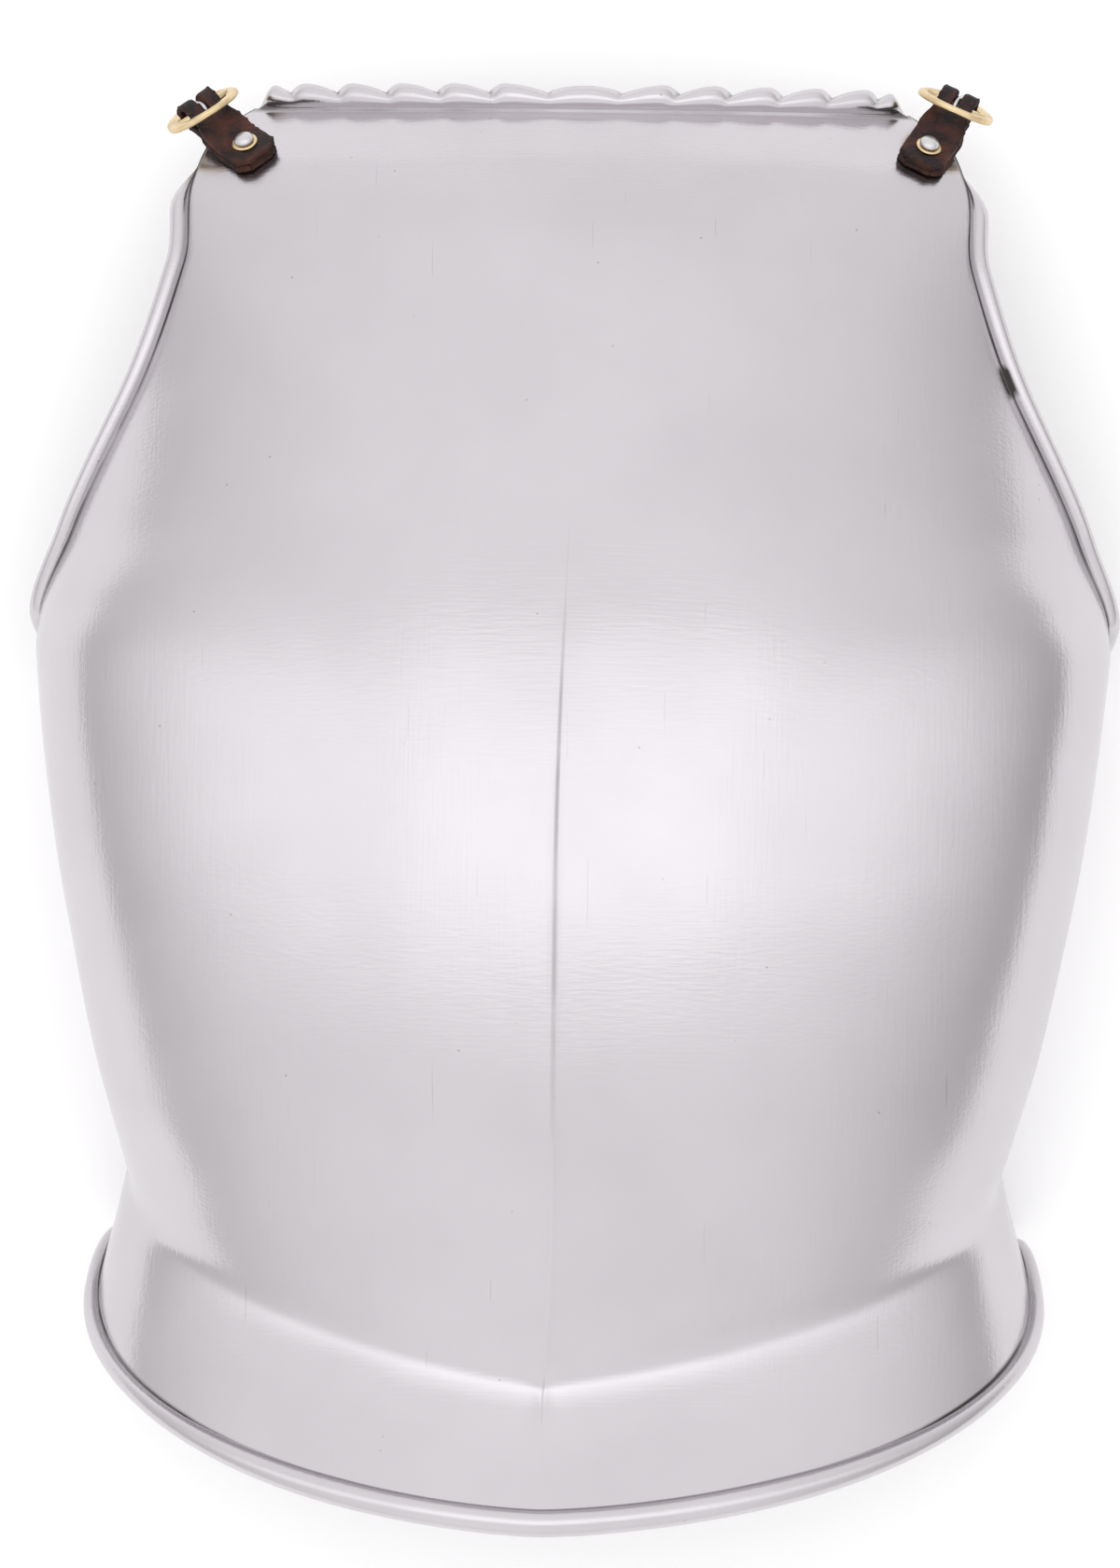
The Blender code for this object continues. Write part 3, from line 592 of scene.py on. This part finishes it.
RING_SECTION = (        # shares of the ring's width from its inner edge, and of its half thickness
    (0.00, -0.45), (0.04, -0.80), (0.14, -1.00), (0.86, -1.00), (0.96, -0.80), (1.00, -0.45),
    (1.00, 0.35), (0.97, 0.72), (0.88, 0.94), (0.74, 1.00), (0.40, 1.00), (0.33, 0.96),
    (0.30, 0.78), (0.26, 0.72), (0.12, 0.68), (0.04, 0.55), (0.00, 0.30),
)


def buckle(side, *materials):
    width = RING_OUTER - RING_INNER
    profile = [(RING_INNER + width * across, RING_THICK / 2 * up) for across, up in RING_SECTION]
    bm = spun(profile, RING_FACETS)
    for vert in bm.verts:
        vert.co.z += abs(vert.co.x) * sin(radians(RING_BEND))
    bar = bmesh.ops.create_cone(bm, cap_ends=True, segments=BAR_FACETS, radius1=BAR_RADIUS,
                                radius2=BAR_RADIUS, depth=2 * (RING_INNER + width * BAR_END))
    bmesh.ops.rotate(bm, verts=bar["verts"], cent=(0, 0, 0), matrix=Matrix.Rotation(pi / 2, 3, "X"))
    worn(bm, *WEAR["ring"], Vector((2.0, 4.0, 1.0)))
    bmesh.ops.transform(bm, matrix=buckle_frame(side), verts=bm.verts[:])
    return add_piece("round_buckle_" + side, bm, materials, "buckle_" + side, ["buckle_" + side])


def tongue(side, *materials):
    """A wire bent into an eye round the bar, its point resting on the far arc."""
    eye = BAR_RADIUS + LAYER_GAP + TONGUE_WIRE
    path = []
    for i in range(EYE_STATIONS):
        angle = radians(EYE_START - (EYE_START + EYE_TURN) * i / (EYE_STATIONS - 1))
        path.append(Vector((eye * cos(angle), 0.0, eye * sin(angle))))
    arc_top = TONGUE_REACH * sin(radians(RING_BEND)) + RING_THICK / 2
    tip = Vector((TONGUE_REACH, 0.0, arc_top + LAYER_GAP + TONGUE_WIRE))
    start = path[-1]
    path += [start.lerp(tip, share) for share in np.linspace(0.0, 1.0, TONGUE_STATIONS)[1:]]
    bm = bmesh.new()
    ring = bmesh.ops.create_circle(bm, cap_ends=True, segments=WIRE_FACETS,
                                   radius=TONGUE_WIRE)
    flats = [vert.co.copy() for vert in ring["verts"]]
    face = bm.faces[:][0]
    for i, point in enumerate(path):
        line = (path[min(i + 1, len(path) - 1)] - path[max(i - 1, 0)]).normalized()
        normal = Vector((-line.z, 0.0, line.x))
        if i:
            face = bmesh.ops.extrude_discrete_faces(bm, faces=[face])["faces"][0]
        from_tip = (len(path) - 1 - i) / TIP_STATIONS
        thin = 1.0 - TIP_THIN * max(1.0 - from_tip, 0.0) ** 2
        for vert, flat in zip(face.verts, flats):
            vert.co = point + (normal * flat.x + Vector((0.0, flat.y, 0.0))) * thin
    bmesh.ops.holes_fill(bm, edges=[edge for edge in bm.edges if edge.is_boundary])
    worn(bm, *WEAR["tongue"], Vector((1.0, 1.0, 5.0)))
    bmesh.ops.transform(bm, matrix=buckle_frame(side), verts=bm.verts[:])
    return add_piece("buckle_tongue_" + side, bm, materials, "tongue_" + side, ["tongue_" + side])


def washer(side, *materials):
    base = 3 * LAYER_GAP + 2 * LEATHER
    ease = WASHER_THICK * WASHER_EASE
    top = base + WASHER_THICK
    outline = ((WASHER_INNER, base), (WASHER_OUTER - ease, base), (WASHER_OUTER, base + ease),
               (WASHER_OUTER, top - ease), (WASHER_OUTER - ease, top), (WASHER_INNER, top))
    bm = spun(outline, WASHER_FACETS)
    worn(bm, *WEAR["washer"], Vector((6.0, 2.0, 3.0)))
    bmesh.ops.transform(bm, matrix=shoulder_frame(side), verts=bm.verts[:])
    return add_piece("rivet_washer_" + side, bm, materials, "plate", ["washer_" + side])


def rivet(side, *materials):
    seat = 4 * LAYER_GAP + 2 * LEATHER + WASHER_THICK
    back = -SHEET - TAIL_GAP
    dome = [(HEAD_RADIUS * cos(a), seat + HEAD_HEIGHT * (HEAD_RIM + (1 - HEAD_RIM) * sin(a)))
            for a in np.linspace(0.0, pi / 2, DOME_STATIONS)[:-1]]
    outline = [(TAIL_RADIUS * across, back + TAIL_HEIGHT * up) for across, up in TAIL_OUTLINE]
    outline += [(SHANK_RADIUS, back), (SHANK_RADIUS, seat), (HEAD_RADIUS * 0.96, seat)]
    bm = spun(outline + dome + [(0.0, seat + HEAD_HEIGHT)], RIVET_FACETS, closed=False)
    worn(bm, *WEAR["rivet"], Vector((9.0, 1.0, 4.0)))
    bmesh.ops.transform(bm, matrix=shoulder_frame(side), verts=bm.verts[:])
    return add_piece("domed_rivet_" + side, bm, materials, "plate", ["rivet_" + side])


# %% [markdown]
# ## Finishes
# The steel was ground and polished by hand: it is bright but satin, with fine strokes that
# run two ways, soft smudges, a few scratches and pin-prick pits, and dark dirt with painted shade
# where the rolled edge meets the sheet. Painted shade also darkens the rope's grooves, the open
# gap and the lines on the ridge and at the crease. Each of these is a layer of noise in the
# object's own coordinates, and the dirt and painted shade follow a value that was stored on
# the plate while it was raised.

# %% Steel, leather and brass
def add_node(tree, kind, inputs=None, **settings):
    """A shader node with its settings, and its inputs as values or links."""
    node = tree.nodes.new("ShaderNode" + kind)
    for key, value in settings.items():
        setattr(node, key, value)
    for key, value in (inputs or {}).items():
        if isinstance(value, bpy.types.NodeSocket):
            tree.links.new(value, node.inputs[key])
        else:
            node.inputs[key].default_value = value
    return node


def new_finish(name):
    material = bpy.data.materials.new(name)
    material.use_nodes = True
    tree = material.node_tree
    place = add_node(tree, "TexCoord").outputs["Object"]
    return material, tree, tree.nodes["Principled BSDF"], place


def speckle(tree, place, scale, low, high, stretch=(1, 1, 1), turn=(0, 0, 0), detail=2.0):
    """Noise that runs from 0 at low to 1 at high, drawn out and turned."""
    mapped = add_node(tree, "Mapping", {"Vector": place, "Scale": stretch, "Rotation": turn})
    grain = add_node(tree, "TexNoise", {"Vector": mapped.outputs[0], "Scale": scale,
                                        "Detail": detail})
    ramp = add_node(tree, "MapRange", {"Value": grain.outputs["Fac"], "From Min": low,
                                       "From Max": high})
    return ramp.outputs[0]


def reckon(tree, operation, *values, clamp=False):
    inputs = dict(enumerate(values))
    return add_node(tree, "Math", inputs, operation=operation, use_clamp=clamp).outputs[0]


def mixed(tree, share, first, second):
    node = add_node(tree, "Mix", {"Factor": share, "A": first, "B": second}, data_type="FLOAT")
    return node.outputs[0]


def tinted(tree, share, first, second):
    node = add_node(tree, "MixRGB", {"Fac": share, "Color1": first, "Color2": second})
    return node.outputs[0]


def pits(tree, place, scale, size, few):
    """Small round pits, only in the cells whose random value passes few."""
    cells = add_node(tree, "TexVoronoi", {"Vector": place, "Scale": scale})
    deep = add_node(tree, "MapRange", {"Value": cells.outputs["Distance"], "From Min": size,
                                       "From Max": size * 0.4})
    picked = reckon(tree, "GREATER_THAN", cells.outputs["Color"], few)
    return reckon(tree, "MULTIPLY", deep.outputs[0], picked)


def bumped(tree, shader, layers):
    """Stack bump layers of (height, strength, distance)."""
    normal = None
    for height, strength, distance in layers:
        inputs = {"Height": height, "Strength": strength, "Distance": distance}
        if normal:
            inputs["Normal"] = normal
        normal = add_node(tree, "Bump", inputs).outputs[0]
    tree.links.new(normal, shader.inputs["Normal"])


def steel(name, colour, roughness, with_painted_shade_and_dirt):
    material, tree, shader, place = new_finish(name)
    cloud = speckle(tree, place, 22.0, 0.38, 0.64, detail=5.0)
    smudge = speckle(tree, place, 7.0, 0.46, 0.70, stretch=(1.0, 2.2, 1.0), detail=6.0)
    strokes = speckle(tree, place, 60.0, 0.2, 0.8, stretch=(1.0, 16.0, 16.0))
    crossed = speckle(tree, place, 55.0, 0.2, 0.8, stretch=(18.0, 1.0, 3.0), turn=(0, 0, 0.35))
    scratch = speckle(tree, place, 9.0, 0.745, 0.77, stretch=(90.0, 2.0, 6.0), turn=(0, 0, -0.7))
    pitted = pits(tree, place, 210.0, 0.11, 0.86)
    shade = reckon(tree, "MULTIPLY", cloud, 0.14)
    tone = tinted(tree, shade, (*colour, 1.0), (*[c * 0.72 for c in colour], 1.0))
    faint = reckon(tree, "MULTIPLY", scratch, 0.3)
    marks = reckon(tree, "MULTIPLY", reckon(tree, "MAXIMUM", pitted, faint), 0.45)
    tone = tinted(tree, marks, tone, (0.16, 0.14, 0.13, 1.0))
    rough = reckon(tree, "MULTIPLY_ADD", smudge, 0.07, roughness)
    shader.inputs["Metallic"].default_value = 1.0
    # the stored value paints shade into the seams, gap, ridge line and grooves, with dirt in the
    # seams: darker, rougher, less metallic
    if with_painted_shade_and_dirt:
        painted_shade_and_dirt = add_node(tree, "Attribute", attribute_name="painted_shade_and_dirt").outputs["Fac"]
        patchy_shade_and_dirt = reckon(tree, "MULTIPLY", painted_shade_and_dirt, reckon(tree, "ADD", cloud, 0.55), clamp=True)
        tone = tinted(tree, patchy_shade_and_dirt, tone, (0.035, 0.028, 0.026, 1.0))
        rough = mixed(tree, patchy_shade_and_dirt, rough, 0.75)
        tree.links.new(reckon(tree, "SUBTRACT", 1.0, patchy_shade_and_dirt), shader.inputs["Metallic"])
    tree.links.new(tone, shader.inputs["Base Color"])
    tree.links.new(rough, shader.inputs["Roughness"])
    bumped(tree, shader, ((strokes, 0.07, 0.0004), (crossed, 0.06, 0.0004),
                          (pitted, -0.6, 0.0003)))
    return material


def leather(name, dark, worn_tone, roughness):
    material, tree, shader, place = new_finish(name)
    rubbed = speckle(tree, place, 130.0, 0.45, 0.68, detail=6.0)
    streak = speckle(tree, place, 420.0, 0.55, 0.72, stretch=(1.0, 3.0, 1.0), detail=4.0)
    share = reckon(tree, "MULTIPLY", reckon(tree, "MAXIMUM", rubbed, streak), 0.75)
    tone = tinted(tree, share, (*dark, 1.0), (*worn_tone, 1.0))
    grain = add_node(tree, "TexVoronoi", {"Vector": place, "Scale": 1500.0})
    creases = speckle(tree, place, 300.0, 0.3, 0.7, stretch=(1.0, 2.5, 1.0), detail=5.0)
    tree.links.new(tone, shader.inputs["Base Color"])
    shader.inputs["Roughness"].default_value = roughness
    shader.inputs["Specular IOR Level"].default_value = 0.3
    bumped(tree, shader, ((creases, 0.5, 0.0004), (grain.outputs["Distance"], 0.35, 0.0002)))
    return material


def brass(name, colour, roughness):
    material, tree, shader, place = new_finish(name)
    dull = speckle(tree, place, 170.0, 0.42, 0.70, detail=6.0)
    pitted = pits(tree, place, 900.0, 0.16, 0.80)
    tone = tinted(tree, reckon(tree, "MULTIPLY", dull, 0.45), (*colour, 1.0),
                  (colour[0] * 0.62, colour[1] * 0.52, colour[2] * 0.45, 1.0))
    tone = tinted(tree, reckon(tree, "MULTIPLY", pitted, 0.5), tone, (0.12, 0.08, 0.05, 1.0))
    tree.links.new(tone, shader.inputs["Base Color"])
    tree.links.new(reckon(tree, "MULTIPLY_ADD", dull, 0.14, roughness), shader.inputs["Roughness"])
    shader.inputs["Metallic"].default_value = 1.0
    bumped(tree, shader, ((dull, 0.25, 0.0003), (pitted, -0.5, 0.0002)))
    return material


PLATE_STEEL = steel("satin_steel", (0.566, 0.545, 0.566), 0.20, with_painted_shade_and_dirt=True)
RIVET_STEEL = steel("rivet_steel_bright", (0.60, 0.59, 0.60), 0.30, with_painted_shade_and_dirt=False)
STRAP_FACE = leather("harness_leather", (0.010, 0.006, 0.006), (0.095, 0.026, 0.015), 0.60)
STRAP_EDGE = leather("leather_edge", (0.020, 0.010, 0.009), (0.10, 0.035, 0.020), 0.75)
BRASS = brass("pale_brass", (0.72, 0.575, 0.34), 0.30)
print(len(bpy.data.materials), "finishes")

# %% [markdown]
# ## Putting it together
# Each maker is called for both shoulders. The pieces ride on the body that carries them, so
# that the rings swing on their straps and the tongues lift off their rings.

# %% Build every piece
raise_plate(PLATE_STEEL)
for hand in ("left", "right"):
    strap(hand, STRAP_FACE, STRAP_EDGE)
    buckle(hand, BRASS)
    tongue(hand, RIVET_STEEL)
    washer(hand, BRASS)
    rivet(hand, RIVET_STEEL)

# %% [markdown]
# ## The studio
# The photograph was taken in a white studio with soft light all round. The plate lies on its
# back, so the camera looks straight down on it from two metres, through a long lens. Polished
# steel shows mostly what stands round it, so the lamp is weak and the surroundings do the
# work: a bright panel overhead, a little towards the neck, pale walls beyond both ends, and
# grey screens at the sides, which draw the soft dark bands. The paper glows a little, as
# white paper that is lit from behind does.

# %% Floor, light and surroundings
PAPER_BELOW = 0.0004    # the paper lies this far below the plate's edges
PAPER = {"Base Color": (0.97, 0.97, 0.97, 1), "Roughness": 0.9,
         "Emission Color": (1, 1, 1, 1), "Emission Strength": 0.08}
HORIZON = 0.80          # brightness of the surroundings low down
PANEL = 0.72            # what the panel overhead adds to it
PANEL_FALL = 0.40       # how much less it adds beyond its edge
PANEL_AT = 0.10         # where it stands, from straight overhead towards the neck
PANEL_EDGE = (0.06, 0.45)     # distances from there between which it fades
WALLS = 0.34            # what the walls beyond neck and bottom add
LEFT_LIGHT = 0.06       # how much brighter the left side is than the middle
SCREENS = ((1.0, 0.14), (-1.0, 0.08))     # side of each grey screen and how dark it is
SCREEN_EDGE = 0.6       # how far out to the side the screens begin

floor_mesh = bmesh.new()
bmesh.ops.create_grid(floor_mesh, x_segments=1, y_segments=1, size=4.0)
bmesh.ops.translate(floor_mesh, verts=floor_mesh.verts[:], vec=(0.0, 0.0, -PAPER_BELOW))
mesh = bpy.data.meshes.new("studio_floor")
floor_mesh.to_mesh(mesh)
floor_mesh.free()
floor = put_in_scene("studio_floor", mesh)
paper = bpy.data.materials.new("studio_paper")
paper.use_nodes = True
for socket, value in PAPER.items():
    paper.node_tree.nodes["Principled BSDF"].inputs[socket].default_value = value
mesh.materials.append(paper)

lamp_data = bpy.data.lights.new("softbox", "AREA")
lamp_data.shape = "SQUARE"
lamp_data.size = 1.8
lamp_data.energy = 2.0
lamp = put_in_scene("softbox", lamp_data)
lamp.location = (0.05, 0.50, 2.6)

world = bpy.data.worlds.new("studio")
world.use_nodes = True
bpy.context.scene.world = world
sky = world.node_tree
towards = add_node(sky, "TexCoord").outputs["Generated"]
parts = add_node(sky, "SeparateXYZ", {0: towards})


def faded(value, low, high):
    """0 at low and 1 at high, with soft ends."""
    inputs = {"Value": value, "From Min": low, "From Max": high}
    return add_node(sky, "MapRange", inputs, interpolation_type="SMOOTHSTEP").outputs[0]


overhead = faded(parts.outputs["Z"], 0.0, 1.0)
from_panel = reckon(sky, "ABSOLUTE", reckon(sky, "SUBTRACT", parts.outputs["Y"], PANEL_AT))
panel = reckon(sky, "MULTIPLY_ADD", faded(from_panel, *PANEL_EDGE), -PANEL_FALL, PANEL)
level = reckon(sky, "MULTIPLY_ADD", overhead, panel, HORIZON)
lengthways = reckon(sky, "ABSOLUTE", parts.outputs["Y"])
level = reckon(sky, "MULTIPLY_ADD", reckon(sky, "POWER", lengthways, 2.0), WALLS, level)
level = reckon(sky, "MULTIPLY_ADD", parts.outputs["X"], -LEFT_LIGHT, level)
for end, depth in SCREENS:
    screen = faded(parts.outputs["X"], SCREEN_EDGE * end, end)
    level = reckon(sky, "MULTIPLY_ADD", screen, -depth, level)
sky.links.new(level, sky.nodes["Background"].inputs["Strength"])
sky.nodes["Background"].inputs["Color"].default_value = (1.0, 0.99, 1.0, 1.0)
bpy.context.scene.view_settings.view_transform = "Standard"

# %% [markdown]
# The camera's place came from the photograph: how much the sides foreshorten gives the
# distance, and the lean of the midline gives the small turn and roll.

# %% Camera
PIVOT = Vector((0.0, MIDDLE, 0.080))
DISTANCE = 2.0          # metres from the pivot
YAW = radians(1.2)
ROLL = radians(0.8)
LENS = 189.4            # focal length in millimetres
SIDESTEP = 0.0035       # the object stands this far right of the picture's middle

right = Vector((cos(YAW) * cos(ROLL), sin(ROLL), -sin(YAW) * cos(ROLL)))
above = Vector((-cos(YAW) * sin(ROLL), cos(ROLL), sin(YAW) * sin(ROLL)))
back = right.cross(above)
camera_data = bpy.data.cameras.new("camera")
camera_data.sensor_fit = "HORIZONTAL"
camera_data.sensor_width = 36.0
camera_data.lens = LENS
camera = put_in_scene("camera", camera_data)
camera.matrix_world = Matrix((right, above, back)).transposed().to_4x4()
camera.location = PIVOT + back * DISTANCE - right * SIDESTEP
bpy.context.scene.camera = camera
print("camera at", [round(c, 3) for c in camera.location])
